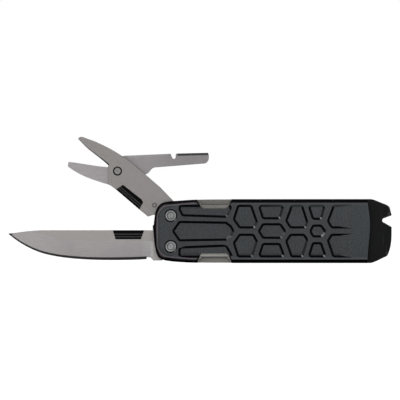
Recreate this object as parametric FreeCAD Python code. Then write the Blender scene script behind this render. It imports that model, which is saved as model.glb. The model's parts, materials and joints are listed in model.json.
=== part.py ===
import FreeCAD, Part
import math
import os

# Slim folding multi tool, standing on its long edge with the knife and the scissors out.
# +X runs from the tools to the pry end, +Z up, +Y from the front face to the back face.
# Origin: the flat web in the middle of the front scale's outer face. Millimetres.

os.makedirs("parts", exist_ok=True)

V = FreeCAD.Vector

# ---- driving dimensions ----
T_ALL = 10.8             # overall thickness
T_SCALE = 2.4            # aluminium scale
T_LINER = 1.0            # steel liner
LINER_INSET = 0.08       # liners sit this far inside the scale outline
OUTLINE_END = 54.5       # the blank outline ends here, before the rear is trimmed
OUTLINE_Z = 13.44        # half height of the handle at its rear

# Layers, as (front, back) in Y
FRONT_LINER_Y = (T_SCALE, T_SCALE + T_LINER)
BACK_LINER_Y = (T_ALL - T_SCALE - T_LINER, T_ALL - T_SCALE)
CORE_Y = (FRONT_LINER_Y[1], BACK_LINER_Y[0])    # between the liners
KNIFE_Y = (3.6, 5.6)
FRAME_Y = (3.8, 5.72)    # scissors frame
LEVER_Y = (5.76, 7.2)    # scissors lever
SPRING_Y = (5.85, 6.75)
THROUGH = (-1, 12)       # span of a cutter that passes through everything

# Pivots and pins, as (x, z)
PIVOT_X = -31.4
PIVOT_Z = 6.48
SCISSORS_PIVOT = (PIVOT_X, PIVOT_Z)
KNIFE_PIVOT = (PIVOT_X, -PIVOT_Z)
PIVOTS = (SCISSORS_PIVOT, KNIFE_PIVOT)
R_HEAD = 2.28            # pivot head
R_PIN = 1.2              # pin through a tool
R_SHOULDER = 1.5         # barrel behind the tool
R_WASHER = 3.4
RUN = 0.03               # running clearance of a pivot
STOP = (-37.21, -0.17)   # tool stop pin
R_STOP = 0.65
STOP_FRONT = 2.95        # front end of the stop pin
RIVET = (-53.80, 25.22)  # scissors rivet
R_RIVET = 1.0
SPRING_PIVOT = (-38.26, 10.92)

# Tangs and lock heels
R_TANG = 4.62            # tang round a pivot
R_HEEL = 7.83            # largest radius of a lock heel
HEEL = 5.67              # lock heel face from the pivot
HEEL_TOP = 3.15          # nearer end of the heel face, across from the pivot
R_CLEAR = 8.06           # relief of the knife round the scissors pivot

# Screws, as (x, z)
SCALE_SCREWS = [(-0.15, 0.0), (36.3, 0.0)]
R_SCALE_SCREW = 0.6
R_SCALE_HOLE = 0.62
SCALE_SINK = 0.75        # depth of the countersunk head
FRAME_SCREWS = [(47.2, 6.9), (47.2, -6.9)]
R_FRAME_SCREW = 0.9
R_FRAME_HEAD = 1.9
R_FRAME_FRONT = 0.92     # hole in the front scale and liner
R_FRAME_BACK = 1.05      # hole in the pry bar, back liner and back scale

# Thumb grips
GRIP_PROUD = 0.12        # a grip stands this far out of its tool
GRIP_DEEP = 0.5          # and is let in this far


# ---- helpers ----
def point(p, y=0.0):
    return V(p[0], y, p[1])


def wire(segments, y):
    """Closed wire from ('L', points) straight and ('S', points) smooth segments.

    Gaps between segments are closed with straight lines.
    """
    edges = []
    last = first = None
    for kind, pts in segments:
        q = [point(p, y) for p in pts]
        if last is not None and (q[0] - last).Length > 1e-6:
            edges.append(Part.makeLine(last, q[0]))
        if first is None:
            first = q[0]
        if kind == "L":
            for a, b in zip(q, q[1:]):
                if (b - a).Length > 1e-6:
                    edges.append(Part.makeLine(a, b))
        else:
            curve = Part.BSplineCurve()
            curve.interpolate(q)
            edges.append(curve.toShape())
        last = q[-1]
    if (last - first).Length > 1e-6:
        edges.append(Part.makeLine(last, first))
    return Part.Wire(Part.__sortEdges__(edges))


def plate(shape, y0, y1):
    """Plate from a list of (x, z) points or of wire segments."""
    if not isinstance(shape[0][0], str):
        shape = [("L", shape)]
    return Part.Face(wire(shape, y0)).extrude(V(0, y1 - y0, 0))


def disc(centre, r, y0, y1):
    return Part.makeCylinder(r, y1 - y0, point(centre, y0), V(0, 1, 0))


def cone(centre, r0, r1, y0, y1):
    return Part.makeCone(r0, r1, y1 - y0, point(centre, y0), V(0, 1, 0))


def closed(pts):
    return Part.makePolygon(pts + [pts[0]])


def section(x, pts):
    """Closed wire across the X axis from (y, z) points."""
    return closed([V(x, y, z) for y, z in pts])


def prism(pts, direction):
    return Part.Face(closed(pts)).extrude(direction)


def prism_z(pts, half):
    """Prism along Z from (x, y) points, symmetric about z = 0."""
    return prism([V(x, y, -half) for x, y in pts], V(0, 0, 2 * half))


def rounded(pts, r):
    """Polygon at y = 0 with every corner rounded, less where its sides are short."""
    n = len(pts)
    corners = []
    for i in range(n):
        a, b, c = point(pts[i - 1]), point(pts[i]), point(pts[(i + 1) % n])
        u, w = a - b, c - b
        shorter = min(u.Length, w.Length)
        u.normalize()
        w.normalize()
        half = u.getAngle(w) / 2
        radius = min(r, 0.45 * shorter * math.tan(half))
        setback = radius / math.tan(half)
        bisector = u + w
        bisector.normalize()
        middle = b + bisector * (radius / math.sin(half) - radius)
        corners.append((b + u * setback, middle, b + w * setback))
    edges = []
    for i, (start, middle, end) in enumerate(corners):
        edges.append(Part.Arc(start, middle, end).toShape())
        following = corners[(i + 1) % n][0]
        if (following - end).Length > 1e-5:
            edges.append(Part.makeLine(end, following))
    return Part.Wire(Part.__sortEdges__(edges))


def rounded_plate(pts, r, y0, y1):
    w = rounded(pts, r)
    w.translate(V(0, y0, 0))
    return Part.Face(w).extrude(V(0, y1 - y0, 0))


def cut(body, *cutters):
    for cutter in cutters:
        body = body.cut(cutter)
    return body


def fuse(body, *others):
    return body.multiFuse(list(others)).removeSplitter()


def cut_loft(body, sections):
    """Cut a loft away; the body stays as it is if the loft or the cut goes wrong."""
    try:
        trial = body.cut(Part.makeLoft(sections, True, True))
    except Exception:
        return body
    return trial if trial.isValid() and len(trial.Solids) == 1 else body


def back(shape):
    """Mirror a front-side piece to the back side."""
    return shape.mirror(V(0, T_ALL / 2, 0), V(0, 1, 0))


def one(shape):
    """The bare solid of a compound that holds only one."""
    if shape.ShapeType == "Compound" and len(shape.Solids) == 1:
        return shape.Solids[0]
    return shape


# ---- handle outline ----
# (x, z) round the nose, from the top edge to the bottom edge
NOSE = [
    (-5.6, 13.42), (-13.0, 13.38), (-20.45, 13.25), (-25.2, 12.98), (-29.19, 12.70),
    (-33.1, 12.34), (-35.88, 11.20), (-37.45, 9.03), (-38.12, 6.36), (-38.51, 3.40),
    (-38.64, 0.0), (-38.46, -3.0), (-38.08, -6.2), (-37.48, -9.00), (-36.52, -10.90),
    (-34.84, -12.00), (-32.34, -12.58), (-28.35, -12.98), (-20.45, -13.33), (-13.0, -13.40),
    (-5.6, -13.42),
]
# (x, z) down the rear end of the scales
REAR = [
    (51.2, 14.6), (51.2, 13.44), (51.74, 8.86), (52.20, 4.24), (52.25, 1.0),
    (51.95, -2.9), (51.55, -7.1), (51.2, -11.72), (51.1, -13.44), (51.1, -14.6),
]


def outline_plate(inset, y0, y1):
    """Plate of the handle outline moved inwards by inset, with an untrimmed rear."""
    base = Part.BSplineCurve()
    base.interpolate([point(p) for p in NOSE])
    pts = []
    for p in NOSE:
        tangent = base.tangent(base.parameter(point(p)))[0]
        q = point(p) + V(-tangent.z, 0, tangent.x) * inset
        pts.append((q.x, q.z))
    z = OUTLINE_Z - inset
    return plate([("L", [(OUTLINE_END, z), pts[0]]), ("S", pts),
                  ("L", [pts[-1], (OUTLINE_END, -z)])], y0, y1)


def rear_cut(shift=0.0):
    pts = [(x + shift, z) for x, z in REAR]
    return plate([("S", pts), ("L", [(62 + shift, -14.6), (62 + shift, 14.6)])], *THROUGH)


# ---- scales ----
BEVEL_WIDTH = 1.50       # bevel round the scale
BEVEL_DEPTH = 0.95
POCKET = 0.6             # depth of the recessed pattern
WALL = 1.00              # width of a pocket's sloped wall, seen from the front
POCKET_ABOVE = 0.3       # a pocket cutter starts this far outside the face
R_POCKET = 0.95          # pocket corners
R_WINDOW = 0.7           # window corners

# (x, z) corners of the windows open to the top and the bottom edge
WINDOWS = [
    [(-21.2, 14.6), (-18.44, 9.28), (-7.52, 9.28), (-5.24, 14.6)],
    [(-20.75, -14.6), (-18.70, -9.30), (-7.5, -9.30), (-5.24, -14.6)],
]
# (x, z) corners of the pockets, half way down their walls
POCKETS = [
    [(-27.5, 10.62), (-6.3, 10.62), (-6.26, 9.16), (-7.94, 6.01), (-26.42, 6.64), (-27.7, 9.2)],
    [(-30.45, 0.0), (-27.68, 3.86), (-8.19, 3.52), (-6.26, 2.10), (-5.08, 0.0),
     (-6.26, -2.12), (-7.98, -3.57), (-27.68, -3.91)],
    [(-27.17, -6.85), (-8.19, -6.09), (-5.84, -10.21), (-5.84, -10.75), (-27.76, -10.75),
     (-27.76, -7.77)],
    [(-3.07, 10.62), (2.39, 10.62), (4.75, 3.82), (3.57, 1.55), (-2.48, 1.55), (-4.87, 5.0)],
    [(-2.48, -1.55), (3.23, -1.55), (4.75, -4.24), (2.73, -10.65), (-3.07, -10.65),
     (-4.87, -5.0)],
    [(5.63, 10.62), (15.83, 10.62), (14.32, 5.38), (7.35, 5.38)],
    [(5.63, 0.0), (7.35, 2.86), (14.66, 2.86), (16.59, 0.0), (14.83, -2.81), (7.43, -2.81)],
    [(7.35, -5.42), (14.32, -5.42), (16.25, -10.65), (5.63, -10.65)],
    [(19.45, 10.62), (23.73, 10.62), (25.91, 3.91), (25.07, 1.55), (18.94, 1.55),
     (17.14, 4.33)],
    [(18.94, -1.55), (24.57, -1.55), (25.91, -3.65), (23.81, -10.65), (19.36, -10.65),
     (17.14, -4.24)],
    [(26.59, 10.62), (33.14, 10.62), (31.71, 5.17), (28.35, 5.17)],
    [(27.26, 0.0), (28.43, 2.31), (31.63, 2.31), (33.47, 0.0), (31.88, -2.23), (28.43, -2.23)],
    [(28.35, -5.08), (31.71, -5.08), (33.64, -10.65), (26.59, -10.65)],
]
REAR_POCKETS = [
    [(37.04, 10.62), (47.0, 10.62), (47.0, 1.55), (36.25, 1.55), (34.65, 4.16)],
    [(36.25, -1.55), (47.0, -1.55), (47.0, -10.65), (36.92, -10.65), (34.65, -3.99)],
]
# (x, y) profile that runs the floors of the rear pockets up to the outer face
RAMP = [(30.0, -1), (30.0, POCKET + 0.1), (39.2, POCKET + 0.1), (39.2, POCKET),
        (45.2, 0), (45.2, -1)]


def pocket_cutter(pts, r):
    """Cutter with sloped walls: the outline runs half way down the wall."""
    middle = rounded(pts, r)
    # Offsetting or lofting may fail on an awkward outline; straight walls replace it then.
    try:
        floor = middle.makeOffset2D(-WALL / 2, 0, False, False, False)
        floor.translate(V(0, POCKET, 0))
        spread = WALL / 2 + POCKET_ABOVE * WALL / POCKET
        top = middle.makeOffset2D(spread, 0, False, False, False)
        top.translate(V(0, -POCKET_ABOVE, 0))
        cutter = Part.makeLoft([top, floor], True, True)
        if cutter.isValid() and cutter.Volume > 0:
            return cutter
    except Exception:
        pass
    return Part.Face(middle).extrude(V(0, POCKET, 0))


def scale_blank():
    """Plate with a bevel round its outer (low-Y) edge, except at the rear end."""
    s = outline_plate(0.0, 0.0, T_SCALE)
    edges = [e for e in s.Edges
             if abs(e.BoundBox.YMax) < 1e-6 and e.BoundBox.XMin < OUTLINE_END - 0.1]
    return one(s.makeChamfer(BEVEL_DEPTH, BEVEL_WIDTH, edges))


def plain_scale():
    """Front scale before its screw holes: the pattern is cut into a block, then trimmed."""
    s = Part.makeBox(110, T_SCALE, 32, V(-48, 0, -16))
    for pts in POCKETS:
        s = s.cut(pocket_cutter(pts, R_POCKET))
    ramp = prism_z(RAMP, 13)
    for pts in REAR_POCKETS:
        s = s.cut(pocket_cutter(pts, R_POCKET).common(ramp))
    for pts in WINDOWS:
        s = cut(s, rounded_plate(pts, R_WINDOW, *THROUGH), pocket_cutter(pts, R_WINDOW))
    for c in PIVOTS:
        s = cut(s, disc(c, R_HEAD + 0.12, -1, 1.45),
                cone(c, R_HEAD + 0.52, R_HEAD + 0.10, -0.06, 0.36),
                disc(c, R_SHOULDER + 0.05, *THROUGH))
    s = s.cut(rear_cut())
    return one(one(s).common(scale_blank()))


def scale_hole(c):
    """Blind hole for a scale screw, front side."""
    return disc(c, R_SCALE_HOLE, 0.95, FRONT_LINER_Y[1] - 0.2)


def make_front_scale(blank):
    s = cut(blank, *[scale_hole(c) for c in SCALE_SCREWS])
    return cut(s, *[disc(c, R_FRAME_FRONT, 1.15, T_SCALE + 1) for c in FRAME_SCREWS])


def make_back_scale(blank):
    s = cut(back(blank), *[back(scale_hole(c)) for c in SCALE_SCREWS])
    for c in FRAME_SCREWS:
        s = cut(s, disc(c, R_FRAME_HEAD + 0.1, T_ALL - 1.55, T_ALL + 1),
                disc(c, R_FRAME_BACK, *THROUGH))
    return s


# ---- screws ----
def scale_screw(c):
    """Front-side screw from the inside, countersunk in the liner, holding the scale."""
    inner = FRONT_LINER_Y[1]
    head = cone(c, R_SCALE_SCREW, 1.15, inner - SCALE_SINK, inner - 0.1)
    s = fuse(disc(c, R_SCALE_SCREW, 1.05, inner - 0.4), head)
    return s.cut(disc(c, 0.45, inner - 0.5, inner))


def make_scale_screws():
    screws = []
    for c in SCALE_SCREWS:
        screws += [scale_screw(c), back(scale_screw(c))]
    return Part.makeCompound(screws)


def frame_screw(c):
    """Screw from the back with a hexagon socket."""
    s = fuse(cone(c, R_FRAME_HEAD, 1.65, T_ALL - 0.35, T_ALL - 0.02),
             disc(c, R_FRAME_HEAD, T_ALL - 1.5, T_ALL - 0.35),
             disc(c, R_FRAME_SCREW, 1.25, T_ALL - 1.4))
    angles = [math.radians(60 * k) for k in range(6)]
    socket = [(c[0] + 0.95 * math.cos(a), c[1] + 0.95 * math.sin(a)) for a in angles]
    return s.cut(plate(socket, T_ALL - 1.0, T_ALL + 1))


def make_frame_screws():
    return Part.makeCompound([frame_screw(c) for c in FRAME_SCREWS])


# ---- liners and lock arms ----
# (x, z) corners of the front liner's windows
LINER_WIN_TOP_Z = 11.26
LINER_WIN_BOTTOM_Z = -11.05
LINER_WINDOWS = [
    [(-20.7, 14.6), (-19.3, 11.8), (-18.3, LINER_WIN_TOP_Z), (-7.7, LINER_WIN_TOP_Z),
     (-6.8, 11.8), (-5.5, 14.6)],
    [(-20.2, -14.6), (-19.2, -11.7), (-18.3, LINER_WIN_BOTTOM_Z), (-7.7, LINER_WIN_BOTTOM_Z),
     (-6.9, -11.7), (-5.6, -14.6)],
]
# (x, z) of the small tab that shows past the nose above the knife
LINER_TAB = [(-37.6, 2.95), (-38.88, 2.48), (-39.0, 2.2), (-38.92, 0.40), (-37.6, 0.32)]

ARM_TIP = -25.3          # free end of the lock arms
ARM_ROOT = 18.7          # hinge end of the lock arms
ARM_TIP_Z = 9.45         # inner edge at the free end
ARM_ROOT_Z = 10.4        # inner edge along the rest
SLOT = 0.45              # slot round the free end and along the inner edge


def liner_blank(y0, y1):
    return outline_plate(LINER_INSET, y0, y1).cut(rear_cut(-0.7))


def liner_screw_hole(c):
    inner = FRONT_LINER_Y[1]
    return fuse(disc(c, R_SCALE_HOLE, 1.0, inner),
                cone(c, R_SCALE_HOLE, 1.27, inner - SCALE_SINK, inner + 0.02))


def make_front_liner():
    s = cut(liner_blank(*FRONT_LINER_Y), *[plate(w, *THROUGH) for w in LINER_WINDOWS])
    # bevel on the outer face along each window's inner edge
    face = FRONT_LINER_Y[0]
    for z, sign in ((LINER_WIN_TOP_Z, 1), (LINER_WIN_BOTTOM_Z, -1)):
        s = s.cut(prism([V(-18.6, face - 0.2, z - sign * 0.55),
                         V(-18.6, face + 0.5, z + sign * 0.15),
                         V(-18.6, face - 0.2, z + sign * 0.15)], V(11.2, 0, 0)))
    s = cut(s, *[disc(c, R_PIN + 0.02, *THROUGH) for c in PIVOTS])
    s = cut(s, *[liner_screw_hole(c) for c in SCALE_SCREWS])
    s = cut(s, *[disc(c, R_FRAME_FRONT, *THROUGH) for c in FRAME_SCREWS])
    s = s.cut(disc(STOP, R_STOP + 0.005, STOP_FRONT - 0.05, 5))
    return fuse(s, plate(LINER_TAB, *FRONT_LINER_Y))


def arm_plate(sign, slot=0.0, step=0.0, root=0.0, outer=14.5):
    """Cutter in the shape of an arm, enlarged by the given gaps; sign 1 is the top one."""
    pts = [(ARM_TIP - slot, outer), (ARM_TIP - slot, ARM_TIP_Z - slot),
           (-22.6 + step, ARM_TIP_Z - slot), (-20.4 + step, ARM_ROOT_Z - slot),
           (ARM_ROOT + root, ARM_ROOT_Z - slot), (ARM_ROOT + root, outer)]
    return plate([(x, sign * z) for x, z in pts], *THROUGH)


def make_lock_arm(sign):
    """Spring arm along a long edge, in the back liner's layer."""
    return outline_plate(LINER_INSET, *BACK_LINER_Y).common(arm_plate(sign))


def make_back_liner():
    s = liner_blank(*BACK_LINER_Y)
    s = cut(s, *[disc(c, R_SHOULDER + 0.02, *THROUGH) for c in PIVOTS])
    s = cut(s, *[back(liner_screw_hole(c)) for c in SCALE_SCREWS])
    s = cut(s, *[disc(c, R_FRAME_BACK, *THROUGH) for c in FRAME_SCREWS])
    return cut(s, *[arm_plate(sign, slot=SLOT, step=0.2, root=0.12, outer=14.9)
                    for sign in (1, -1)])


# ---- pry bar: spacer between the liners, chisel end and nail notch ----
PRY = [
    ("L", [(22.0, 13.09), (50.6, 13.09), (50.9, 13.44), (52.9, 13.44)]),
    ("S", [(52.9, 13.44), (54.6, 12.95), (57.2, 11.88), (59.5, 10.92), (60.35, 10.3),
           (60.9, 9.0), (61.44, 7.0)]),
    ("S", [(61.44, 7.0), (61.3, 6.58), (60.8, 6.36)]),
    ("S", [(58.35, 5.44), (57.62, 4.9), (57.55, 4.2), (58.2, 3.62)]),
    ("S", [(61.05, 1.98), (61.4, 1.62), (61.46, 1.05)]),
    ("S", [(61.46, 1.05), (61.42, -2.8), (61.02, -6.38), (60.25, -9.1), (59.75, -10.15),
           (59.1, -10.72)]),
    ("S", [(59.1, -10.72), (56.4, -11.98), (54.0, -13.05), (52.6, -13.44)]),
    ("L", [(52.6, -13.44), (50.9, -13.44), (50.6, -13.09), (40.2, -13.09), (40.2, -0.8),
           (38.7, 0.8), (22.0, 0.8)]),
]
PRY_SLOT = [(26, 11.0), (44.2, 11.0), (44.2, 3.0), (26, 3.0)]
PRY_TIP = 62.5           # the facets are cut out to here


def make_pry_bar():
    front, rear = CORE_Y
    # the back side tapers to the chisel edge; the front has a short facet
    taper = prism_z([(53.6, rear + 1), (53.6, rear), (PRY_TIP, front + 0.95),
                     (PRY_TIP, rear + 1)], 15)
    facet = prism_z([(58.2, front - 1), (58.2, front), (PRY_TIP, front + 0.75),
                     (PRY_TIP, front - 1)], 15)
    s = cut(plate(PRY, *CORE_Y), taper, facet)
    s = cut(s, *[disc(c, R_FRAME_BACK, *THROUGH) for c in FRAME_SCREWS])
    # lightening slot hidden between the liners, and clearance round a scale screw
    return cut(s, rounded_plate(PRY_SLOT, 1.5, *THROUGH), disc(SCALE_SCREWS[1], 1.5, *THROUGH))


# ---- pivots ----
def make_barrel(c, tool_back):
    """Pin and shoulder with a slotted head at the back; tool_back is the tool's back face."""
    shoulder = tool_back + 0.02
    s = fuse(disc(c, R_PIN, 1.55, shoulder), disc(c, R_SHOULDER, shoulder, T_ALL - 1.4),
             disc(c, R_HEAD, T_ALL - 1.45, T_ALL - 0.3),
             cone(c, R_HEAD, R_HEAD - 0.28, T_ALL - 0.3, T_ALL - 0.02))
    s = s.cut(disc(c, 0.72, 1.0, 7.2))
    corners = ((-1.5, -0.28), (1.5, -0.28), (1.5, 0.28), (-1.5, 0.28))
    slot = [(c[0] + x, c[1] + z) for x, z in corners]
    return s.cut(plate(slot, T_ALL - 0.75, T_ALL + 1))


def make_pivot_screw(c):
    s = fuse(cone(c, R_HEAD - 0.16, R_HEAD, 0.03, 0.2), disc(c, R_HEAD, 0.2, 1.4),
             disc(c, 0.7, 1.3, 6.6))
    # ring groove round the centre, and a conical dimple in the centre
    groove = disc(c, 1.62, -1, 0.34).cut(disc(c, 1.28, -2, 1))
    return cut(s, groove, cone(c, 0.5, 0.25, -0.02, 0.16))


def make_washer(c, tool_front):
    return disc(c, R_WASHER, CORE_Y[0], tool_front).cut(disc(c, R_PIN + RUN, *THROUGH))


def grip_groove(start, across, along, half_width, face):
    """V groove in a thumb grip, running along from start in the tool's front face."""
    lip = V(0, face - GRIP_PROUD - 0.01, 0)
    return prism([start - across * half_width + lip, start + V(0, face + 0.12, 0),
                  start + across * half_width + lip], along)


# ---- knife ----
KNIFE_MID = 0.5 * (KNIFE_Y[0] + KNIFE_Y[1])
HALF_T = 0.5 * (KNIFE_Y[1] - KNIFE_Y[0])
TIP_X = -99.62
GROUND_END = -41.54      # the ground part ends here, at the ricasso
TANG_X = -38.9           # the ricasso ends here, at the tang
SPINE_Z = 0.36
GRIND_Z = -4.09          # grind line at the handle
TANG_Z = -12.39          # lower edge of the tang
EDGE_HALF = 0.36         # largest half thickness above the edge bevel
# (x, z) tables from the tip towards the handle
SPINE = [
    (TIP_X, -1.02), (-97.02, -0.76), (-94.5, -0.42), (-91.98, -0.10), (-89.46, 0.13),
    (-86.94, 0.29), (-84.42, SPINE_Z), (-37.6, SPINE_Z),
]
EDGE = [
    (TIP_X, -1.25), (-98.5, -2.15), (-97.02, -3.32), (-94.5, -5.08), (-91.98, -6.51),
    (-89.46, -7.77), (-86.94, -8.78), (-84.42, -9.58), (-81.9, -10.18), (-79.38, -10.67),
    (-76.86, -11.05), (-74.34, -11.35), (-71.82, -11.60), (-69.3, -11.80), (-66.78, -11.95),
    (-64.26, -12.06), (-61.74, -12.13), (-59.22, -12.17), (-56.7, -12.19), (-54.18, -12.19),
    (-51.66, -12.17), (-49.14, -12.13), (-46.62, -12.07), (-44.1, -11.97),
    (GROUND_END, -11.82),
]
GRIND = [
    (TIP_X, -1.05), (-94.5, -0.52), (-90.5, -0.06), (-88.12, -0.36), (-86.0, -1.0),
    (-83.83, -1.75), (-81.7, -2.38), (-79.55, -2.88), (-76.3, -3.42), (-73.12, -3.76),
    (-70.0, -3.93), (-67.2, -4.02), (-53.8, GRIND_Z), (-37.2, GRIND_Z),
]
# x of the loft's sections
STATIONS = [
    TIP_X, -99.0, -98.3, -97.5, -96.5, -95.5, -94.5, -93.2, -91.98, -90.5, -89.46, -88.12,
    -86.94, -85.6, -84.42, -83.2, -81.9, -80.6, -79.38, -78.1, -76.86, -75.6, -74.34, -73.12,
    -71.82, -70.5, -69.3, -66.78, -64.26, -61.74, -59.22, -56.7, -54.18, -51.66, -49.14,
    -46.62, -44.1, GROUND_END,
]
# (x, z) of the ribbed grip at the spine
KNIFE_GRIP = [(-55.80, SPINE_Z + 0.005), (-42.60, SPINE_Z + 0.005), (-44.0, -3.42),
              (-54.6, -3.42)]


def interpolate(table, x):
    for (x0, z0), (x1, z1) in zip(table, table[1:]):
        if x <= x1:
            return z0 + (z1 - z0) * ((x - x0) / (x1 - x0))


def knife_wire(x, halves):
    """Section from (half thickness, z) down one side, mirrored to the other."""
    return section(x, [(KNIFE_MID - t, z) for t, z in halves]
                   + [(KNIFE_MID + t, z) for t, z in reversed(halves)])


def ground_section(x):
    spine, edge = interpolate(SPINE, x), interpolate(EDGE, x)
    grind = min(interpolate(GRIND, x), spine - 0.06)
    # the spine thins towards the tip
    fullness = min(1.0, (x - TIP_X) / 10.5)
    spine_half = HALF_T * (0.16 + 0.84 * fullness ** 0.75)
    bevel = min(0.80 + 0.40 * min(1.0, (x - TIP_X) / 50.0), 0.5 * (grind - edge))
    bevel_half = min(EDGE_HALF, 0.55 * spine_half)
    return knife_wire(x, [(spine_half, spine), (spine_half, grind),
                          (bevel_half, edge + bevel), (0.035, edge)])


def make_knife():
    ground = Part.makeLoft([ground_section(x) for x in STATIONS], True, True)

    # ricasso: the grind runs out just ahead of the handle
    upper = [(HALF_T, SPINE_Z), (HALF_T, GRIND_Z)]
    thin = upper + [(EDGE_HALF, -11.10)]
    full = upper + [(HALF_T, -12.3)]
    ricasso = Part.makeLoft([knife_wire(GROUND_END, thin), knife_wire(-39.9, thin),
                             knife_wire(TANG_X, full)], True, True)

    px, pz = KNIFE_PIVOT
    tang = plate([(TANG_X, SPINE_Z), (-38.02, SPINE_Z), (-38.02, pz), (-36.0, TANG_Z),
                  (TANG_X, TANG_Z)], *KNIFE_Y)
    tang_disc = disc(KNIFE_PIVOT, R_HEEL - 0.02, *KNIFE_Y).common(
        plate([(-39, 2), (-32.2, 2), (-32.2, TANG_Z), (-39, TANG_Z)], *THROUGH))
    heel = plate([(-33.0, pz), (px + HEEL, pz - HEEL_TOP), (px + HEEL, pz - 5.35),
                  (px, -12.2), (-36, TANG_Z)], *KNIFE_Y)
    heel = heel.common(disc(KNIFE_PIVOT, R_HEEL, *THROUGH))
    low = plate([(TANG_X, -6.5), (-34.2, -6.5), (-34.2, TANG_Z), (TANG_X, TANG_Z)], *KNIFE_Y)
    s = ground.multiFuse([ricasso, tang, tang_disc, heel, low,
                          disc(KNIFE_PIVOT, R_TANG, *KNIFE_Y)])

    choil = disc((-40.35, -12.55), 1.15, *THROUGH)
    s = cut(s, choil, disc(SCISSORS_PIVOT, R_CLEAR, *THROUGH),
            disc((px, pz - 2 * PIVOT_Z), R_CLEAR, *THROUGH),
            disc(STOP, R_STOP + 0.12, *THROUGH), disc(KNIFE_PIVOT, R_PIN + RUN, *THROUGH))
    # merging coplanar faces may fail on the lofted body; it is then left unmerged
    try:
        s = s.removeSplitter()
    except Exception:
        pass

    a, b, c, d = KNIFE_GRIP
    return s.cut(plate([(a[0], 1.0), (b[0], 1.0), b, c, d, a],
                       KNIFE_Y[0] - 1, KNIFE_Y[0] + GRIP_DEEP))


def make_knife_grip():
    """Ribbed inlay let into the front face at the spine."""
    face = KNIFE_Y[0]
    s = plate(KNIFE_GRIP, face - GRIP_PROUD, face + GRIP_DEEP)
    return cut(s, *[grip_groove(V(-60, 0, z), V(0, 0, 1), V(25, 0, 0), 0.22, face)
                    for z in (-1.26, -2.36)])


# ---- scissors ----
# Unit directions along the scissors, pivot to rivet, and across them, towards the handle's top
LENGTH = math.hypot(RIVET[0] - PIVOT_X, RIVET[1] - PIVOT_Z)
ALONG = ((RIVET[0] - PIVOT_X) / LENGTH, (RIVET[1] - PIVOT_Z) / LENGTH)
ACROSS = (ALONG[1], -ALONG[0])


def from_pivot(u, w):
    """(x, z) of a point u along and w across the scissors from their pivot."""
    return (PIVOT_X + ALONG[0] * u + ACROSS[0] * w, PIVOT_Z + ALONG[1] * u + ACROSS[1] * w)


# (x, z) of the fixed jaw's cutting edge, root to tip
JAW_EDGE = [(-57.56, 27.55), (-59.43, 29.22), (-62.92, 31.98), (-66.4, 34.75), (-68.6, 36.9),
            (-70.35, 38.75)]
FRAME = [
    ("S", [(-70.35, 38.75), (-70.05, 39.25), (-69.4, 39.58), (-67.2, 39.14), (-63.97, 37.97),
           (-59.68, 36.05), (-54.89, 33.50), (-51.79, 31.52), (-48.12, 29.03),
           (-45.70, 26.97), (-42.42, 24.12), (-35.92, 18.50)]),
    ("L", [from_pivot(3.0, 5.45), from_pivot(-HEEL, 5.45), from_pivot(-HEEL, HEEL_TOP),
           from_pivot(-2.5, 0), from_pivot(2.0, -3.6), from_pivot(5.75, -4.35),
           (-40.75, 6.15), (-41.0, 6.06), (-44.64, 9.06), (-54.45, 17.48), (-56.62, 19.05)]),
    ("S", [(-56.62, 19.05), (-57.2, 19.45), (-57.54, 20.2)]),
    ("S", JAW_EDGE),
]
# (x, z) of the ribbed grip, and the line its grooves run along
SCISSORS_GRIP = [(-54.47, 17.50), (-51.45, 19.40), (-43.72, 13.31), (-43.05, 12.05),
                 (-44.64, 9.06)]
GRIP_LINE = [(-54.35, 17.6), (-44.56, 9.16)]

LEVER = [
    ("L", [(-74.72, 27.2), (-74.47, 28.95), (-74.1, 29.1), (-73.37, 29.0)]),
    ("S", [(-73.37, 29.0), (-67.2, 28.1), (-61.95, 27.3), (-57.9, 26.9)]),
    ("S", [(-57.9, 26.9), (-57.3, 28.3), (-55.6, 30.2), (-53.2, 31.2), (-51.4, 31.6),
           (-49.98, 31.74)]),
    ("L", [(-49.98, 31.74), (-40.95, 32.12), (-31.46, 32.53)]),
    ("S", [(-31.46, 32.53), (-31.2, 31.95), (-30.95, 31.2), (-30.6, 30.62), (-30.05, 30.40),
           (-29.55, 30.62), (-29.35, 31.3), (-29.24, 32.45)]),
    ("L", [(-29.24, 32.45), (-28.9, 32.62), (-15.75, 32.93)]),
    ("S", [(-15.75, 32.93), (-15.35, 31.4), (-15.55, 29.9), (-16.25, 28.85), (-17.2, 28.40)]),
    ("L", [(-17.2, 28.40), (-27.51, 27.58), (-38.05, 26.74)]),
    ("S", [(-38.05, 26.74), (-39.4, 26.1), (-41.08, 24.25), (-42.3, 23.75), (-44.5, 23.3),
           (-48.5, 22.9), (-51.0, 22.1), (-53.2, 21.2), (-55.2, 20.2), (-57.04, 19.35)]),
    ("S", [(-57.04, 19.35), (-62.92, 21.21), (-67.2, 22.81), (-71.23, 24.82),
           (-74.72, 27.2)]),
]
# (x, z) along the lever's thumb edge, either side of its notch
THUMB_EDGES = [
    [(-49.6, 31.66), (-40.95, 32.02), (-31.9, 32.5)],
    [(-28.6, 32.66), (-14.8, 32.96)],
]
# (x, z, relative width of the grind) along the moving jaw's upper edge
MOVING_JAW = [(-74.6, 28.95, 0.5), (-67.2, 28.14, 0.9), (-61.95, 27.25, 1.0),
              (-59.2, 26.98, 1.0)]


def jaw_grind_sections():
    """Sections of the grind on the fixed jaw's outer face, narrowing to the tip."""
    face = FRAME_Y[0]
    nx, nz = 0.64, 0.77      # across the edge, into the jaw
    wires = []
    for i, (x, z) in enumerate(JAW_EDGE):
        width = 1.0 - 0.55 * i / 5.0
        # (distance into the jaw, y)
        corners = ((-0.6, face - 0.4), (0.95 * width, face - 0.4), (0.62 * width, face),
                   (-0.6, face + 1.25))
        wires.append(closed([V(x + nx * d, y, z + nz * d) for d, y in corners]))
    return wires


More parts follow.
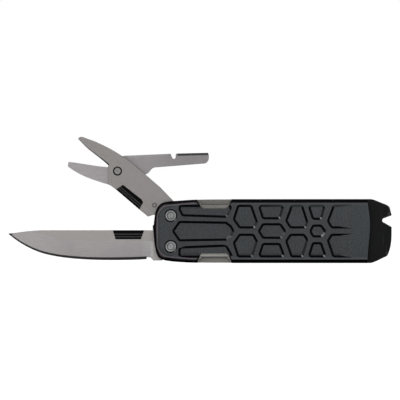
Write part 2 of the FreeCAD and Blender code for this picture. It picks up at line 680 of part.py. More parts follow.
def make_frame():
    face = FRAME_Y[0]
    s = fuse(plate(FRAME, *FRAME_Y), disc(SCISSORS_PIVOT, R_TANG, *FRAME_Y))
    s = cut(s, disc(SCISSORS_PIVOT, R_PIN + RUN, *THROUGH),
            disc(RIVET, R_RIVET + RUN, *THROUGH), disc(RIVET, 1.38, THROUGH[0], face + 0.6),
            cone(RIVET, 1.95, 1.38, face - 0.05, face + 0.5),
            disc(SPRING_PIVOT, 0.62, *THROUGH),
            disc(SPRING_PIVOT, 0.92, THROUGH[0], face + 0.4))
    s = cut_loft(s, jaw_grind_sections())
    pocket = [(-54.98, 17.18)] + SCISSORS_GRIP + [(-45.1, 8.55)]
    return s.cut(plate(pocket, face - 1, face + GRIP_DEEP))


def make_scissors_grip():
    face = FRAME_Y[0]
    s = plate(SCISSORS_GRIP, face - GRIP_PROUD, face + GRIP_DEEP)
    start, end = [point(p) for p in GRIP_LINE]
    along = end - start
    along.normalize()
    across = V(-along.z, 0, along.x)
    return cut(s, *[grip_groove(start + across * offset - along * 3, across, along * 22,
                                0.2, face) for offset in (0.95, 1.85)])


def bevel_section(x, z, face, inward, depth, low, low_out, rise):
    """Section of a bevel cutter at an upper edge; inward is the Y sign into the body."""
    outside, inside = face - inward * 0.4, face + inward * depth
    return section(x, [(outside, z - low_out), (face, z - low), (inside, z + rise),
                       (inside, z + 0.8), (outside, z + 0.8)])


def make_lever():
    s = cut(plate(LEVER, *LEVER_Y), disc(RIVET, R_RIVET + RUN, *THROUGH),
            disc(RIVET, 1.62, LEVER_Y[1] - 0.45, THROUGH[1]))
    # bevel along the thumb edge, front side
    for pts in THUMB_EDGES:
        s = cut_loft(s, [bevel_section(x, z, LEVER_Y[0], 1, depth=0.75, low=1.0,
                                       low_out=1.35, rise=0.1) for x, z in pts])
    # grind of the moving jaw, back face, towards its upper edge
    return cut_loft(s, [bevel_section(x, z, LEVER_Y[1], -1, depth=0.8, low=2.5 * width,
                                      low_out=2.9 * width, rise=0.15)
                        for x, z, width in MOVING_JAW])


def make_scissors_rivet():
    front, rear = FRAME_Y[0], LEVER_Y[1] - 0.02
    return fuse(disc(RIVET, R_RIVET, front + 0.1, rear),
                disc(RIVET, 1.36, front + 0.02, front + 0.58),
                disc(RIVET, 1.56, rear - 0.4, rear))


def make_spring_rivet():
    front = FRAME_Y[0]
    return fuse(disc(SPRING_PIVOT, 0.6, front + 0.1, 6.95),
                disc(SPRING_PIVOT, 0.86, front + 0.02, front + 0.38),
                disc(SPRING_PIVOT, 1.0, 6.80, 7.1))


def make_spring():
    """Tapering leaf spring behind the frame, pushing the lever open."""
    length = 12.8
    tilt = math.radians(20.0)    # from the scissors' length
    dx, dz = [a * math.cos(tilt) + b * math.sin(tilt) for a, b in zip(ALONG, ACROSS)]

    def place(along, side):
        return (SPRING_PIVOT[0] + dx * along - dz * side,
                SPRING_PIVOT[1] + dz * along + dx * side)

    leaf = [place(0, 0.32), place(0, -0.32), place(length, -0.18), place(length, 0.18)]
    s = fuse(plate(leaf, *SPRING_Y), disc(SPRING_PIVOT, 1.15, *SPRING_Y),
             disc(place(length, 0), 0.32, *SPRING_Y))
    return s.cut(disc(SPRING_PIVOT, 0.64, *THROUGH))


# ---- output ----
scale = plain_scale()
PIECES = {
    "front_scale": make_front_scale(scale),
    "back_scale": make_back_scale(scale),
    "front_liner": make_front_liner(),
    "back_liner": make_back_liner(),
    "pry_bar": make_pry_bar(),
    "stop_pin": disc(STOP, R_STOP, STOP_FRONT, KNIFE_Y[1]),
    "scale_screws": make_scale_screws(),
    "frame_screws": make_frame_screws(),
    "blade_pivot_barrel": make_barrel(KNIFE_PIVOT, KNIFE_Y[1]),
    "scissors_pivot_barrel": make_barrel(SCISSORS_PIVOT, FRAME_Y[1]),
    "blade_pivot_screw": make_pivot_screw(KNIFE_PIVOT),
    "scissors_pivot_screw": make_pivot_screw(SCISSORS_PIVOT),
    "blade_washer": make_washer(KNIFE_PIVOT, KNIFE_Y[0]),
    "scissors_washer": make_washer(SCISSORS_PIVOT, FRAME_Y[0]),
    "knife_blade": make_knife(),
    "blade_thumb_grip": make_knife_grip(),
    "scissors_frame": make_frame(),
    "scissors_thumb_grip": make_scissors_grip(),
    "scissors_rivet": make_scissors_rivet(),
    "spring_rivet": make_spring_rivet(),
    "scissors_spring": make_spring(),
    "scissors_lever": make_lever(),
    "blade_lock_arm": make_lock_arm(-1),
    "scissors_lock_arm": make_lock_arm(1),
}
for name, shape in PIECES.items():
    one(shape).exportStep("parts/%s.step" % name)
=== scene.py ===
"""Folding pocket tool with a knife and scissors: materials, floor, lights and camera.

Metres. The tool lies along X, +Z is up, and its flat sides face -Y (front, to the camera) and +Y.
The knife and scissors end is at -X.
"""
import json
import math
from functools import partial, reduce

import bpy
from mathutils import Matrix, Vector


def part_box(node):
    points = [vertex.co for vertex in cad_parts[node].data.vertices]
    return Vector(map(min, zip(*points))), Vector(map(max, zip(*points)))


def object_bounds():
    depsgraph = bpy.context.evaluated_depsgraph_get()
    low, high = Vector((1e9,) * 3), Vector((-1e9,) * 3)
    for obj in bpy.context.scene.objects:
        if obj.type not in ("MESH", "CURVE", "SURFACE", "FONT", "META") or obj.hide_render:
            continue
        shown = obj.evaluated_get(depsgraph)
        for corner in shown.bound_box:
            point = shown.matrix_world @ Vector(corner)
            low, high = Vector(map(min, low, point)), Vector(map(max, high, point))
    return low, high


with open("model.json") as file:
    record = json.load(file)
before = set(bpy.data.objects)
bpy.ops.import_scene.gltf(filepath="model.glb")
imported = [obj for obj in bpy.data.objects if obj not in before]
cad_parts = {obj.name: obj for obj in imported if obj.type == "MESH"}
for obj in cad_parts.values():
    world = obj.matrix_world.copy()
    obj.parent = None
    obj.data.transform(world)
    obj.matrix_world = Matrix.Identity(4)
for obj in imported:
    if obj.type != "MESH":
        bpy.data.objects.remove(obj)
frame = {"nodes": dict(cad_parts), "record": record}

MM = 0.001
cad_lo, cad_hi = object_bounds()
center_x = (cad_lo.x + cad_hi.x) / 2

scene = bpy.context.scene
scene.view_settings.view_transform = "Standard"
scene.view_settings.look = "None"
scene.view_settings.exposure = 0.0
scene.view_settings.gamma = 1.0


# ---------------------------------------------------------------- shader helpers
def rgb(*channels):
    """sRGB 0..255 to linear."""
    return tuple(v / 255 / 12.92 if v <= 10.3 else ((v / 255 + 0.055) / 1.055) ** 2.4
                 for v in channels)


def scaled(color, gain):
    return tuple(min(1.0, v * gain) for v in color)


def split_camera_rays(tree, hidden, seen, surface):
    """Send `seen` to camera rays and `hidden` to all other rays."""
    path = tree.nodes.new("ShaderNodeLightPath")
    split = tree.nodes.new("ShaderNodeMixShader")
    tree.links.new(path.outputs["Is Camera Ray"], split.inputs[0])
    tree.links.new(hidden, split.inputs[1])
    tree.links.new(seen, split.inputs[2])
    tree.links.new(split.outputs[0], surface)


class Material:
    """A node material built step by step, in object space."""

    def __init__(self, name):
        self.data = bpy.data.materials.new(name)
        self.data.use_nodes = True
        self.tree = self.data.node_tree
        self.tree.nodes.clear()
        self.output = self.node("ShaderNodeOutputMaterial")
        self.principled = self.node("ShaderNodeBsdfPrincipled")
        self.link(self.principled.outputs[0], self.output.inputs[0])
        self.position = self.node("ShaderNodeTexCoord").outputs["Object"]
        self.geometry = self.node("ShaderNodeNewGeometry").outputs

    def node(self, kind, **settings):
        node = self.tree.nodes.new(kind)
        for key, value in settings.items():
            setattr(node, key, value)
        return node

    def link(self, source, target):
        self.tree.links.new(source, target)

    def feed(self, socket, value):
        """Link a socket or set a constant; a three-part colour gets full alpha."""
        if hasattr(value, "is_output"):
            self.link(value, socket)
        elif isinstance(value, tuple) and len(value) == 3 and socket.type == "RGBA":
            socket.default_value = value + (1.0,)
        else:
            socket.default_value = value

    # arithmetic
    def math(self, operation, first, second=0.0, third=None):
        node = self.node("ShaderNodeMath", operation=operation)
        self.feed(node.inputs[0], first)
        self.feed(node.inputs[1], second)
        if third is not None:
            self.feed(node.inputs[2], third)
        return node.outputs[0]

    def mul(self, *values):
        return reduce(partial(self.math, "MULTIPLY"), values)

    def largest(self, *values):
        return reduce(partial(self.math, "MAXIMUM"), values)

    def add(self, first, second):
        return self.math("ADD", first, second)

    def sub(self, first, second):
        return self.math("SUBTRACT", first, second)

    def linear(self, value, gain, offset):
        return self.math("MULTIPLY_ADD", value, gain, offset)

    def length(self, first, second, bias=None):
        """Length of a 2D vector; a small bias keeps it above zero."""
        square = self.linear(second, second, bias) if bias else self.mul(second, second)
        return self.math("SQRT", self.add(self.mul(first, first), square))

    def ramp(self, value, over, to=(0.0, 1.0)):
        """Smooth ramp, to[0] at over[0] and to[1] at over[1]; `over` may fall."""
        node = self.node("ShaderNodeMapRange", interpolation_type="SMOOTHSTEP")
        self.feed(node.inputs[0], value)
        if over[0] > over[1]:
            over, to = over[::-1], to[::-1]
        for index, limit in enumerate(over + to, start=1):
            node.inputs[index].default_value = limit
        return node.outputs[0]

    def band(self, value, *edges):
        """Product of ramps on one value: 1 between a rising and a falling edge."""
        return self.mul(*[self.ramp(value, over=edge) for edge in edges])

    def mix(self, amount, base, top, blend="MIX"):
        node = self.node("ShaderNodeMix", data_type="RGBA", blend_type=blend)
        self.feed(node.inputs["Factor"], amount)
        self.feed(node.inputs[6], base)  # colour A
        self.feed(node.inputs[7], top)  # colour B
        return node.outputs[2]

    def clouded(self, cloud, dark, light):
        return self.mix(self.ramp(cloud, over=(0.3, 0.7)), dark, light)

    # textures
    def noise(self, scale=1.0, detail=2.0, rough=0.5, stretch=None, turn=0.0):
        """Noise, turned about Y and then stretched where asked."""
        node = self.node("ShaderNodeTexNoise")
        node.inputs["Scale"].default_value = scale
        node.inputs["Detail"].default_value = detail
        node.inputs["Roughness"].default_value = rough
        vector = self.position
        if turn:
            rotate = self.node("ShaderNodeVectorRotate", rotation_type="Y_AXIS")
            rotate.inputs["Angle"].default_value = turn
            self.link(vector, rotate.inputs["Vector"])
            vector = rotate.outputs[0]
        if stretch:
            mapping = self.node("ShaderNodeMapping")
            mapping.inputs["Scale"].default_value = stretch
            self.link(vector, mapping.inputs[0])
            vector = mapping.outputs[0]
        self.link(vector, node.inputs["Vector"])
        return node.outputs[0]

    def cells(self, scale):
        node = self.node("ShaderNodeTexVoronoi")
        node.inputs["Scale"].default_value = scale
        self.link(self.position, node.inputs["Vector"])
        return node.outputs["Distance"]

    # places and directions
    def part(self, vector, letter):
        node = self.node("ShaderNodeSeparateXYZ")
        self.link(vector, node.inputs[0])
        return node.outputs["XYZ".index(letter)]

    def axis(self, letter):
        return self.part(self.position, letter)

    def normal(self, letter):
        return self.part(self.geometry["True Normal"], letter)

    def flatness(self):
        """1 on faces square to Y, 0 on walls that run along Y."""
        return self.math("ABSOLUTE", self.normal("Y"))

    def distance_to(self, piece):
        """Distance in XZ from the middle of a piece's box."""
        low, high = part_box(piece)
        return self.length(self.sub(self.axis("X"), (low[0] + high[0]) / 2),
                           self.sub(self.axis("Z"), (low[2] + high[2]) / 2))

    def bevel(self, radius):
        node = self.node("ShaderNodeBevel")
        node.samples = 6
        node.inputs["Radius"].default_value = radius
        return node.outputs[0]

    def edge(self, radius, over=(0.02, 0.35)):
        """1 on outer and inner edges within radius, 0 on flats."""
        dot = self.node("ShaderNodeVectorMath", operation="DOT_PRODUCT")
        self.link(self.bevel(radius), dot.inputs[0])
        self.link(self.geometry["Normal"], dot.inputs[1])
        return self.ramp(self.sub(1.0, dot.outputs["Value"]), over=over)

    def corner_shade(self, reach, over):
        node = self.node("ShaderNodeAmbientOcclusion")
        node.samples = 8
        node.inputs["Distance"].default_value = reach
        return self.ramp(node.outputs["AO"], over=over)

    # surface
    def bump(self, height, strength, depth, soften=None):
        node = self.node("ShaderNodeBump")
        node.inputs["Strength"].default_value = strength
        node.inputs["Distance"].default_value = depth
        self.link(height, node.inputs["Height"])
        if soften:
            self.link(self.bevel(soften), node.inputs["Normal"])
        self.link(node.outputs[0], self.principled.inputs["Normal"])

    def finish(self, color, rough, metal=0.0, spec=0.5):
        values = {"Base Color": color, "Roughness": rough,
                  "Metallic": metal, "Specular IOR Level": spec}
        for name, value in values.items():
            self.feed(self.principled.inputs[name], value)
        return self.data


# ---------------------------------------------------------------- handle scales
SCALE_MID_Y = 0.0054  # middle of the handle's thickness
NOSE_X = 0.03164  # the round nose is centred at -X here
NOSE_RADIUS = 0.0070
NOSE_HALF_FLAT = 0.0055  # half height of the straight part of the nose
SIDE_TAPER = 0.085  # growth of the half height per metre away from the nose


def nose_inset(mat, x, height):
    """Distance inward from the rounded outline of the nose."""
    past_nose = mat.largest(mat.sub(mat.mul(x, -1.0), NOSE_X), 0.0)
    widening = mat.mul(mat.largest(mat.add(x, NOSE_X), 0.0), SIDE_TAPER)
    past_flat = mat.largest(mat.sub(mat.sub(height, widening), NOSE_HALF_FLAT), 0.0)
    return mat.sub(NOSE_RADIUS, mat.length(past_nose, past_flat, bias=1e-9))


def pocket_floor_shade(mat, x, z, depth):
    """Painted shade on the pocket floors: low side, both rims near the nose, and corners."""
    pocket_floor = mat.band(depth, (0.00035, 0.00050), (0.00085, 0.00070))
    low_side = mat.mul(mat.ramp(z, over=(-0.0088, -0.0099)), pocket_floor)
    rims = mat.largest(mat.ramp(z, over=(-0.0088, -0.0095)),
                       mat.ramp(z, over=(0.0092, 0.0097)))
    near_nose = mat.mul(mat.ramp(x, over=(-0.0180, -0.0190)), rims, pocket_floor)
    fringe = mat.mul(mat.edge(0.34 * MM, over=(0.002, 0.04)), pocket_floor)
    return mat.largest(low_side, near_nose, mat.mul(fringe, 0.85))


def scale_walls(mat, x, z, height, depth):
    """Colour of the pocket walls and of the outer bevel, with painted shade, glints and sheen."""
    normal_x, normal_z = mat.normal("X"), mat.normal("Z")
    light_facing = mat.math(
        "DIVIDE", mat.add(mat.mul(normal_x, -0.70), mat.mul(normal_z, 0.714)),
        mat.length(normal_x, normal_z, bias=1e-6))
    inside = mat.mul(mat.ramp(height, over=(0.01175, 0.01150)),
                     mat.ramp(x, over=(-0.0335, -0.0330)))
    # painted shade: near black, lit back to the face colour where turned to the upper left
    color = mat.mix(mat.mul(mat.ramp(light_facing, over=(0.78, 0.94)), inside),
                    rgb(4, 4, 6), rgb(46, 49, 51))
    # painted shade on downward walls along the top, fading to the face colour toward +X
    fade = mat.mul(mat.ramp(normal_z, over=(-0.20, -0.45)),
                   mat.ramp(z, over=(0.0093, 0.0098)),
                   mat.ramp(x, over=(-0.004, 0.022), to=(0.0, 0.86)))
    color = mat.mix(mat.mul(fade, inside), color, rgb(54, 57, 59))
    # broken glints, calmer in the middle of the -X half
    broken = mat.ramp(mat.noise(scale=900), over=(0.35, 0.6), to=(0.2, 1.0))
    glint = mat.mul(mat.ramp(light_facing, over=(0.965, 0.992)), inside, broken)
    calm = mat.mul(mat.ramp(x, over=(0.0, -0.001)), mat.ramp(height, over=(0.0045, 0.0040)))
    color = mat.mix(mat.mul(glint, mat.linear(calm, gain=-0.45, offset=0.75)),
                    color, rgb(158, 160, 162))
    # soft sheen part way down the bevel round the nose
    shoulders = mat.mul(mat.ramp(x, over=(-0.0202, -0.0212)),
                        mat.ramp(height, over=(0.0108, 0.0112)), 0.35)
    nose = mat.largest(mat.ramp(x, over=(-0.0332, -0.0342)), shoulders)
    halfway = mat.band(depth, (0.00002, 0.00006), (0.00034, 0.00024))
    sheen = mat.mul(nose, halfway, mat.sub(1.0, inside))
    return mat.mix(mat.mul(sheen, 0.9), color, rgb(74, 67, 71))


def make_scale():
    mat = Material("scale_coat")
    grain = mat.noise(scale=7000, rough=0.6)
    mottle = mat.noise(scale=1500)
    tooth = mat.noise(scale=3800, detail=3, rough=0.65)
    speck = mat.cells(scale=5200)
    x, y, z = mat.axis("X"), mat.axis("Y"), mat.axis("Z")
    height = mat.math("ABSOLUTE", z)
    # depth below the outer face, the same for both scales
    depth = mat.sub(SCALE_MID_Y, mat.math("ABSOLUTE", mat.sub(y, SCALE_MID_Y)))
    inset = nose_inset(mat, x, height)

    color = mat.clouded(mat.noise(scale=60, detail=3), rgb(45, 48, 50), rgb(54, 57, 59))
    # cooler tint at the +X end
    color = mat.mix(mat.ramp(x, over=(0.0444, 0.0454), to=(0.0, 0.40)), color, rgb(46, 54, 57))
    # painted highlight: lighter strip of face between the pockets and the bevel, stronger on the
    # lower side
    strip_highlight = mat.mul(mat.ramp(height, over=(0.01095, 0.01120)),
                    mat.ramp(depth, over=(0.0002, 0.0001)))
    strip_highlight_amount = mat.ramp(z, over=(0.0, 0.001), to=(0.62, 0.30))
    color = mat.mix(mat.mul(strip_highlight, strip_highlight_amount), color, rgb(84, 85, 87))
    # painted shade on the pocket floors
    color = mat.mix(mat.mul(pocket_floor_shade(mat, x, z, depth), 0.95), color, rgb(7, 7, 9))
    # light, then dark mottling
    color = mat.mix(mat.ramp(mottle, over=(0.35, 0.65), to=(0.0, 0.42)), color, rgb(72, 75, 77))
    color = mat.mix(mat.ramp(mottle, over=(0.52, 0.36), to=(0.0, 0.34)), color, rgb(38, 41, 43))
    # painted shade: dark line on the face round the nose
    nose_shade_line = mat.mul(mat.band(inset, (0.00180, 0.00200), (0.00270, 0.00240)),
                        mat.ramp(x, over=(-0.0290, -0.0325)))
    on_face = mat.ramp(depth, over=(0.0003, 0.0001))
    color = mat.mix(mat.mul(nose_shade_line, on_face, 0.55), color, rgb(20, 21, 23))
    # rough tooth: dark pits, light peaks and specks
    color = mat.mix(mat.ramp(tooth, over=(0.30, 0.70), to=(0.0, 0.55)), color, rgb(36, 39, 41))
    color = mat.mix(mat.ramp(tooth, over=(0.56, 0.74), to=(0.0, 0.40)), color, rgb(92, 96, 98))
    color = mat.mix(mat.ramp(speck, over=(0.02, 0.16), to=(0.18, 0.0)), color, rgb(112, 116, 118))
    # painted highlight, broken into patches: lighter line where the face turns over an edge
    patchy = mat.ramp(mat.noise(scale=350, detail=3, rough=0.6),
                      over=(0.25, 0.65), to=(0.35, 1.0))
    edge_highlight = mat.mul(mat.edge(0.16 * MM, over=(0.01, 0.16)), patchy)
    color = mat.mix(mat.mul(edge_highlight, 0.22), color, rgb(120, 122, 124))
    # walls and bevel take the painted shade, glints and sheen from scale_walls
    wall = mat.ramp(mat.flatness(), over=(0.97, 0.90))
    color = mat.mix(wall, color, scale_walls(mat, x, z, height, depth))
    # painted highlight: light line just inside the outline near the nose
    nose_highlight_line = mat.mul(mat.band(inset, (0.00120, 0.00145), (0.00200, 0.00180)),
                         mat.mul(mat.ramp(x, over=(-0.0205, -0.0215)),
                                 mat.ramp(depth, over=(0.00060, 0.00050))))
    color = mat.mix(mat.mul(nose_highlight_line, 0.85), color, rgb(86, 80, 84))

    rough = mat.add(mat.ramp(grain, over=(0.2, 0.8), to=(0.44, 0.60)), mat.mul(wall, -0.06))
    mat.bump(mat.add(tooth, mat.mul(mat.add(grain, speck), 0.5)),
             strength=0.30, depth=0.04 * MM, soften=0.10 * MM)
    return mat.finish(color, rough, metal=mat.linear(wall, gain=-0.25, offset=0.25),
                      spec=mat.linear(wall, gain=-0.32, offset=0.34))


# ---------------------------------------------------------------- other coatings and turned parts
def make_black_steel():
    mat = Material("black_coat")
    grain = mat.noise(scale=5200, rough=0.6)
    color = mat.clouded(mat.noise(scale=70, detail=3), rgb(4, 4, 5), rgb(8, 8, 9))
    # scuffs at the +X tip
    scuff = mat.ramp(mat.noise(stretch=(900, 900, 140)), over=(0.52, 0.70), to=(0.0, 0.6))
    tip = mat.ramp(mat.axis("X"), over=(0.056, 0.0612))
    color = mat.mix(mat.mul(tip, scuff), color, rgb(74, 74, 74))
    # patchy wear on edges
    patchy = mat.ramp(mat.noise(scale=260, detail=3, rough=0.6),
                      over=(0.3, 0.7), to=(0.15, 0.75))
    edge = mat.edge(0.22 * MM, over=(0.02, 0.3))
    color = mat.mix(mat.mul(edge, patchy), color, rgb(78, 78, 78))
    mat.bump(grain, strength=0.2, depth=0.03 * MM, soften=0.2 * MM)
    rough = mat.ramp(grain, over=(0.2, 0.8), to=(0.40, 0.56))
    return mat.finish(color, rough, metal=0.05, spec=0.13)


def make_grip():
    mat = Material("grip_inlay")
    grain = mat.noise(scale=4200, rough=0.6)
    color = mat.clouded(mat.noise(scale=240), rgb(4, 4, 4), rgb(6, 6, 7))
    # painted highlight on the sloped groove walls
    lit_slopes = mat.band(mat.flatness(), (0.985, 0.93), (0.05, 0.3))
    color = mat.mix(lit_slopes, color, rgb(70, 70, 70))
    mat.bump(grain, strength=0.3, depth=0.04 * MM, soften=0.08 * MM)
    rough = mat.ramp(grain, over=(0.2, 0.8), to=(0.5, 0.68))
    return mat.finish(color, rough, spec=0.04)


def make_bronze():
    mat = Material("washer_bronze")
    fine = mat.noise(stretch=(3000, 3000, 3000))
    color = mat.clouded(mat.noise(scale=500, detail=3, rough=0.6),
                        (0.46, 0.30, 0.13), (0.62, 0.44, 0.22))
    mat.bump(fine, strength=0.1, depth=0.02 * MM)
    rough = mat.ramp(fine, over=(0.2, 0.8), to=(0.25, 0.42))
    return mat.finish(color, rough, metal=1.0)


def make_pivot():
    mat = Material("pivot_turned")
    turned = mat.noise(stretch=(5200, 900, 5200))
    color = mat.clouded(mat.noise(scale=300), rgb(116, 117, 116), rgb(140, 141, 141))
    color = mat.mix(mat.ramp(turned, over=(0.4, 0.7), to=(0.0, 0.35)), color, rgb(104, 106, 106))
    # painted shade: darker side walls
    color = mat.mix(mat.ramp(mat.flatness(), over=(0.8, 0.5)), color, rgb(58, 60, 60))
    # painted shade: dark ring on the front of each screw
    for screw in ("blade_pivot_screw", "scissors_pivot_screw"):
        shade_ring = mat.band(mat.distance_to(screw), (1.20 * MM, 1.30 * MM), (1.70 * MM, 1.60 * MM))
        front = mat.ramp(mat.axis("Y"), over=(0.0012, 0.0010))
        color = mat.mix(mat.mul(shade_ring, front, 0.85), color, rgb(48, 50, 51))
    # painted highlight along the edges
    color = mat.mix(mat.mul(mat.edge(0.10 * MM), 0.35), color, rgb(205, 206, 206))
    mat.bump(turned, strength=0.12, depth=0.02 * MM, soften=0.06 * MM)
    rough = mat.ramp(turned, over=(0.2, 0.8), to=(0.28, 0.42))
    return mat.finish(color, rough, metal=0.8)


# ---------------------------------------------------------------- ground steel
def steel(name, base, rough, lines, line_light=0.20, turn=0.0, metal=0.85,
          regions=(), shade_mask=None, shade_color=None):
    """Satin steel: directional lines, clouding, a few scratches and lit edges.

    lines: noise stretch; regions: (area function, colour gain) pairs; shade_mask: area painted with
    shade_color as painted shade.
    """
    mat = Material(name)
    cloud = mat.noise(scale=90, detail=3)
    fine = mat.noise(rough=0.6, stretch=lines, turn=turn)
    hair = mat.noise(detail=1, stretch=tuple(v * 2.4 for v in lines), turn=turn)
    scratch_lines = (lines[0] * 0.5 + 20, lines[1] * 0.4, lines[2] * 0.35)
    scratch = mat.noise(detail=1, rough=0.4, stretch=scratch_lines, turn=turn)
    warm = tuple(v * gain for v, gain in zip(base, (1.0, 0.99, 0.98)))
    color = mat.clouded(cloud, scaled(base, 0.95), scaled(warm, 1.05))
    # colour gains per area, some of them painted shade or painted light
    for area_of, gain in regions:
        tint = mat.mix(area_of(mat), (1.0, 1.0, 1.0), gain)
        color = mat.mix(1.0, color, tint, blend="MULTIPLY")
    # light lines, dark hairlines, darker scratches
    for texture, over, amount, gain in ((fine, (0.35, 0.75), line_light, 1.25),
                                        (hair, (0.30, 0.70), 0.55, 0.80),
                                        (scratch, (0.70, 0.82), 0.30, 0.62)):
        color = mat.mix(mat.ramp(texture, over=over, to=(0.0, amount)), color, scaled(base, gain))
    # painted highlight along lit edges
    color = mat.mix(mat.mul(mat.edge(0.12 * MM), 0.45), color, scaled(base, 1.35))
    # painted shade on the masked area
    if shade_mask is not None:
        color = mat.mix(shade_mask(mat), color, shade_color)
    roughness = mat.add(mat.ramp(fine, over=(0.2, 0.8), to=(rough - 0.05, rough + 0.07)),
                        mat.ramp(cloud, over=(0.3, 0.7), to=(-0.03, 0.03)))
    mat.bump(mat.add(fine, mat.mul(hair, 0.5)), strength=0.12, depth=0.02 * MM, soften=0.10 * MM)
    return mat.finish(color, roughness, metal=metal)


def blade_edge_shade(mat):
    """Painted shade on the honed edge bevel, turned downward."""
    return mat.mul(mat.ramp(mat.normal("Z"), over=(-0.17, -0.22)),
                   mat.ramp(mat.flatness(), over=(0.55, 0.8)), 0.92)


def blade_flat(mat):
    """The unground flat of the knife."""
    return mat.ramp(mat.flatness(), over=(0.9968, 0.9990))


def ricasso_lightening(mat):
    """The lower part of the knife next to the handle, lightened as painted light."""
    return mat.mul(mat.ramp(mat.axis("X"), over=(-0.0445, -0.0418)),
                   mat.ramp(mat.axis("Z"), over=(-0.0036, -0.0046)))


# painted shade: the liner darker on its upper half
def liner_top_shade(mat):
    return mat.ramp(mat.axis("Z"), over=(0.0, 0.002))


# painted shade: the back liner darker
def liner_back_shade(mat):
    return mat.ramp(mat.axis("Y"), over=(0.005, 0.006))


def liner_shade_mask(mat):
    """Painted shade on the window's broken edges, in tight corners, and on the tab at the -X end.
    """
    upper = mat.ramp(mat.axis("Z"), over=(-0.001, 0.001), to=(0.12, 1.0))
    broken = mat.mul(mat.band(mat.flatness(), (0.93, 0.80), (0.30, 0.5)), 0.9, upper)
    shaded_corners = mat.mul(mat.corner_shade(reach=1.3 * MM, over=(0.82, 0.45)), 0.80, upper)
    return mat.largest(broken, shaded_corners, mat.ramp(mat.axis("X"), over=(-0.0376, -0.0380)))


def scissors_shade_mask(mat):
    """Painted shade: dark discs round both rivets, walls near the main one, and the frame's back
    edge.
    """
    front = mat.ramp(mat.axis("Y"), over=(0.0046, 0.0042))
    main = mat.distance_to("scissors_rivet")
    main_disc = mat.mul(mat.ramp(main, over=(1.98 * MM, 1.88 * MM)), front)
    spring_disc = mat.mul(mat.ramp(mat.distance_to("spring_rivet"), over=(1.10 * MM, 1.0 * MM)),
                          front, 0.55)
    walls = mat.mul(mat.ramp(mat.flatness(), over=(0.93, 0.80)), 0.85,
                    mat.ramp(main, over=(15.0 * MM, 5.5 * MM)))
    # distance square to the slanted frame, from a point on it at X -0.0314, Z 0.00648
    across = mat.add(mat.mul(mat.add(mat.axis("X"), 0.0314), 0.64167),
                     mat.mul(mat.sub(mat.axis("Z"), 0.00648), 0.76699))
    back_edge_shade = mat.mul(mat.edge(0.42 * MM, over=(0.005, 0.08)),
                        mat.ramp(across, over=(5.1 * MM, 5.25 * MM)),
                        mat.mul(mat.ramp(mat.axis("X"), over=(-0.0530, -0.0510)), 0.78))
    return mat.largest(back_edge_shade, mat.largest(main_disc, spring_disc, walls))


def rivet_shade_mask(mat):
    """Painted shade in the dimple of the main rivet and as a dark line round the spring rivet's
    head.
    """
    dimple = mat.ramp(mat.distance_to("scissors_rivet"),
                      over=(0.45 * MM, 0.30 * MM), to=(0.0, 0.22))
    shade_ring = mat.band(mat.distance_to("spring_rivet"),
                    (0.55 * MM, 0.66 * MM), (1.2 * MM, 1.1 * MM))
    return mat.largest(dimple, mat.mul(shade_ring, 0.62))


def lever_arm(mat):
    """The thumb arm, strongest at its free +X end."""
    return mat.add(mat.ramp(mat.axis("X"), over=(-0.0580, -0.0520), to=(0.0, 0.60)),
                   mat.ramp(mat.axis("X"), over=(-0.0420, -0.0240), to=(0.0, 0.55)))


def lever_bevel_shade(mat):
    """Painted shade on the lever's upward front bevel, toward +X."""
    return mat.mul(mat.ramp(mat.normal("Z"), over=(0.25, 0.4)),
                   mat.mul(mat.ramp(mat.normal("Y"), over=(-0.1, -0.4)), 0.9),
                   mat.ramp(mat.axis("X"), over=(-0.0300, -0.0294)))


materials = {
    "scale": make_scale(),
    "black_steel": make_black_steel(),
    "grip": make_grip(),
    "bronze": make_bronze(),
    "pivot": make_pivot(),
    "blade": steel("blade_satin", rgb(164, 159, 159), rough=0.42, lines=(140, 900, 4200),
                   line_light=0.10, shade_mask=blade_edge_shade, shade_color=rgb(24, 24, 25),
                   regions=((blade_flat, (0.74, 0.765, 0.71)), (ricasso_lightening, (1.13, 1.16, 1.16)))),
    "scissors": steel("scissors_satin", rgb(135, 131, 129), rough=0.44, lines=(5200, 900, 150),
                      turn=math.radians(40.0), shade_mask=scissors_shade_mask, shade_color=rgb(34, 34, 35)),
    "lever": steel("lever_satin", rgb(150, 146, 147), rough=0.42, lines=(160, 900, 5200),
                   shade_mask=lever_bevel_shade, shade_color=rgb(30, 30, 31),
                   regions=((lever_arm, (0.60, 0.60, 0.60)),)),
    "liner": steel("liner_brushed", rgb(142, 140, 136), rough=0.36, lines=(120, 900, 5200),
                   shade_mask=liner_shade_mask, shade_color=rgb(22, 22, 22),
                   regions=((liner_top_shade, (0.41, 0.41, 0.405)), (liner_back_shade, (0.74, 0.735, 0.71)))),
    "steel": steel("pin_steel", rgb(160, 160, 160), rough=0.3, lines=(3000, 200, 3000)),
    "spring": steel("spring_steel", rgb(150, 149, 146), rough=0.32, lines=(900, 900, 900),
                    line_light=0.10),
    "rivet": steel("rivet_head", rgb(124, 122, 120), rough=0.40, lines=(2200, 900, 2200),
                   line_light=0.32, shade_mask=rivet_shade_mask, shade_color=rgb(38, 38, 38)),
    "fastener": steel("fastener_dark", rgb(88, 89, 91), rough=0.34, lines=(3000, 3000, 3000),
                      metal=0.7),
}
slot_of = {piece["node"]: piece["material_slot"] for piece in frame["record"]["subparts"]}
slot_of["scissors_rivet"] = slot_of["spring_rivet"] = "rivet"
for name, piece in frame["nodes"].items():
    material = materials[slot_of[name]]
    if len(piece.material_slots) == 0:
        piece.data.materials.append(material)
    for slot in piece.material_slots:
        slot.material = material


# ---------------------------------------------------------------- floor
FLOOR_RADIUS = 12.0
FLOOR_SIDES = 96
FLOOR_GAP = 0.00005  # below the lowest point of the tool


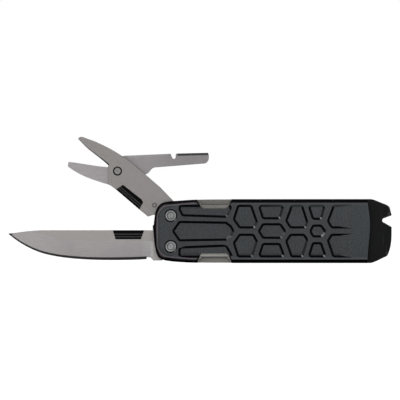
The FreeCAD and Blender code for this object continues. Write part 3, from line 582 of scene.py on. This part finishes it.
def make_floor_material():
    """Pale floor that glows to the camera and lights the tool as plain grey."""
    mat = Material("floor_pale")
    mat.finish(mat.clouded(mat.noise(scale=180, detail=3), (0.80, 0.80, 0.80), (0.84, 0.84, 0.835)),
               rough=0.7, spec=0.2)
    glow = mat.node("ShaderNodeEmission")
    glow.inputs["Color"].default_value = (1, 1, 1, 1)
    glow.inputs["Strength"].default_value = 1.08
    grey = mat.node("ShaderNodeBsdfDiffuse")
    grey.inputs["Color"].default_value = (0.62, 0.62, 0.62, 1)
    seen = mat.node("ShaderNodeMixShader")
    seen.inputs[0].default_value = 0.90  # share of glow
    mat.link(mat.principled.outputs[0], seen.inputs[1])
    mat.link(glow.outputs[0], seen.inputs[2])
    split_camera_rays(mat.tree, grey.outputs[0], seen.outputs[0], mat.output.inputs[0])
    return mat.data


def make_floor():
    turns = [2 * math.pi * i / FLOOR_SIDES for i in range(FLOOR_SIDES)]
    rim = [(center_x + FLOOR_RADIUS * math.cos(turn), FLOOR_RADIUS * math.sin(turn),
            cad_lo.z - FLOOR_GAP) for turn in turns]
    mesh = bpy.data.meshes.new("floor")
    mesh.from_pydata(rim, [], [list(range(FLOOR_SIDES))])
    floor = bpy.data.objects.new("floor", mesh)
    scene.collection.objects.link(floor)
    mesh.materials.append(make_floor_material())


# ---------------------------------------------------------------- world, lights, camera
LIGHT_TARGET = Vector((center_x, 0.005, 0.01))
LIGHTS = (  # name, place, width and height, watts, colour
    ("key_front", (-0.30, -1.7, 0.34), (1.7, 1.25), 10.0, (1.0, 0.995, 0.985)),
    ("fill_right", (1.6, -0.55, 0.55), (1.1, 1.1), 9.0, (0.97, 0.99, 1.0)),
    ("fill_left", (-1.6, -0.8, 0.55), (1.0, 1.0), 7.0, (1.0, 0.99, 0.98)),
    ("back_soft", (0.25, 1.6, 0.45), (1.8, 1.1), 17.0, (1, 1, 1)),
    ("back_left", (-1.3, 1.1, 0.6), (1.0, 1.0), 8.0, (1, 1, 1)),
    ("top_soft", (0.0, 0.1, 1.5), (1.0, 1.0), 9.0, (1, 1, 1)),
)
CAMERA_DISTANCE = 3.5
VIEW_WIDTH = 0.168  # width in view at CAMERA_DISTANCE
SENSOR_WIDTH = 36.0  # millimetres


def make_world():
    """White to the camera, dimmer and cooler as light."""
    world = bpy.data.worlds.new("studio")
    scene.world = world
    world.use_nodes = True
    tree = world.node_tree
    tree.nodes.clear()
    output = tree.nodes.new("ShaderNodeOutputWorld")
    skies = []
    for color, strength in (((0.86, 0.88, 0.92, 1), 0.62), ((1, 1, 1, 1), 1.0)):
        sky = tree.nodes.new("ShaderNodeBackground")
        sky.inputs["Color"].default_value = color
        sky.inputs["Strength"].default_value = strength
        skies.append(sky.outputs[0])
    split_camera_rays(tree, *skies, output.inputs[0])


def make_light(name, place, size, power, color):
    data = bpy.data.lights.new(name, "AREA")
    data.shape = "RECTANGLE"
    data.size, data.size_y = size
    data.energy = power
    data.color = color
    light = bpy.data.objects.new(name, data)
    scene.collection.objects.link(light)
    light.location = place
    aim = LIGHT_TARGET - Vector(place)
    light.rotation_euler = aim.to_track_quat("-Z", "Y").to_euler()


def make_camera():
    """Long lens, level, looking along +Y."""
    data = bpy.data.cameras.new("camera")
    data.sensor_width = SENSOR_WIDTH
    data.lens = SENSOR_WIDTH * CAMERA_DISTANCE / VIEW_WIDTH
    data.clip_end = 60
    camera = bpy.data.objects.new("camera", data)
    scene.collection.objects.link(camera)
    camera.location = (-0.01911, -CAMERA_DISTANCE, 0.01306)
    camera.rotation_euler = (math.pi / 2, 0, 0)
    scene.camera = camera


make_floor()
make_world()
for light in LIGHTS:
    make_light(*light)
make_camera()
